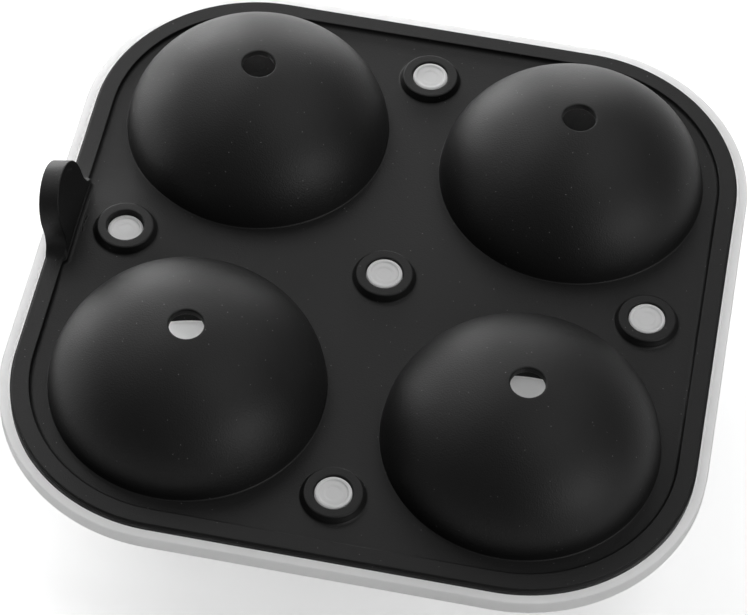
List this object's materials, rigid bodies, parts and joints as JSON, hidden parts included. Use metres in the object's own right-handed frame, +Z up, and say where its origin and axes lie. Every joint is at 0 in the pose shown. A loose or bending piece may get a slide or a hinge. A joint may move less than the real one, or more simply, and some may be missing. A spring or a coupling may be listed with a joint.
{
  "type": "ice ball mold",
  "caption": "Square rigid tray of round bowls under a soft silicone lid of domes with fill holes, ring bosses on locating pegs and a pull tab, for freezing water into balls.",
  "frame": {"origin": "on the ground plane of the foot pads, under the middle of the tray", "axes": "+Z up, the way the lid lifts off; -X towards the pull tab; -Y towards the front of the picture's view"},
  "size_m": [0.1572, 0.1572, 0.0636],
  "materials": {
    "tray_plastic": "milky grey moulded plastic with a soft sheen",
    "silicone": "black moulded silicone, fine matte",
    "peg_plastic": "pale moulded plastic, turned rings on the top face"
  },
  "bodies": {
    "tray": {"base_tray": "tray_plastic", "center_peg": "peg_plastic", "front_peg": "peg_plastic", "back_peg": "peg_plastic", "left_peg": "peg_plastic", "right_peg": "peg_plastic"},
    "lid": {"silicone_lid": "silicone"}
  },
  "joints": [
    {"name": "lid_lift", "type": "slide", "parent": "tray", "child": "lid", "axis": [0, 0, 1], "range_m": [0, 0.06]}
  ]
}
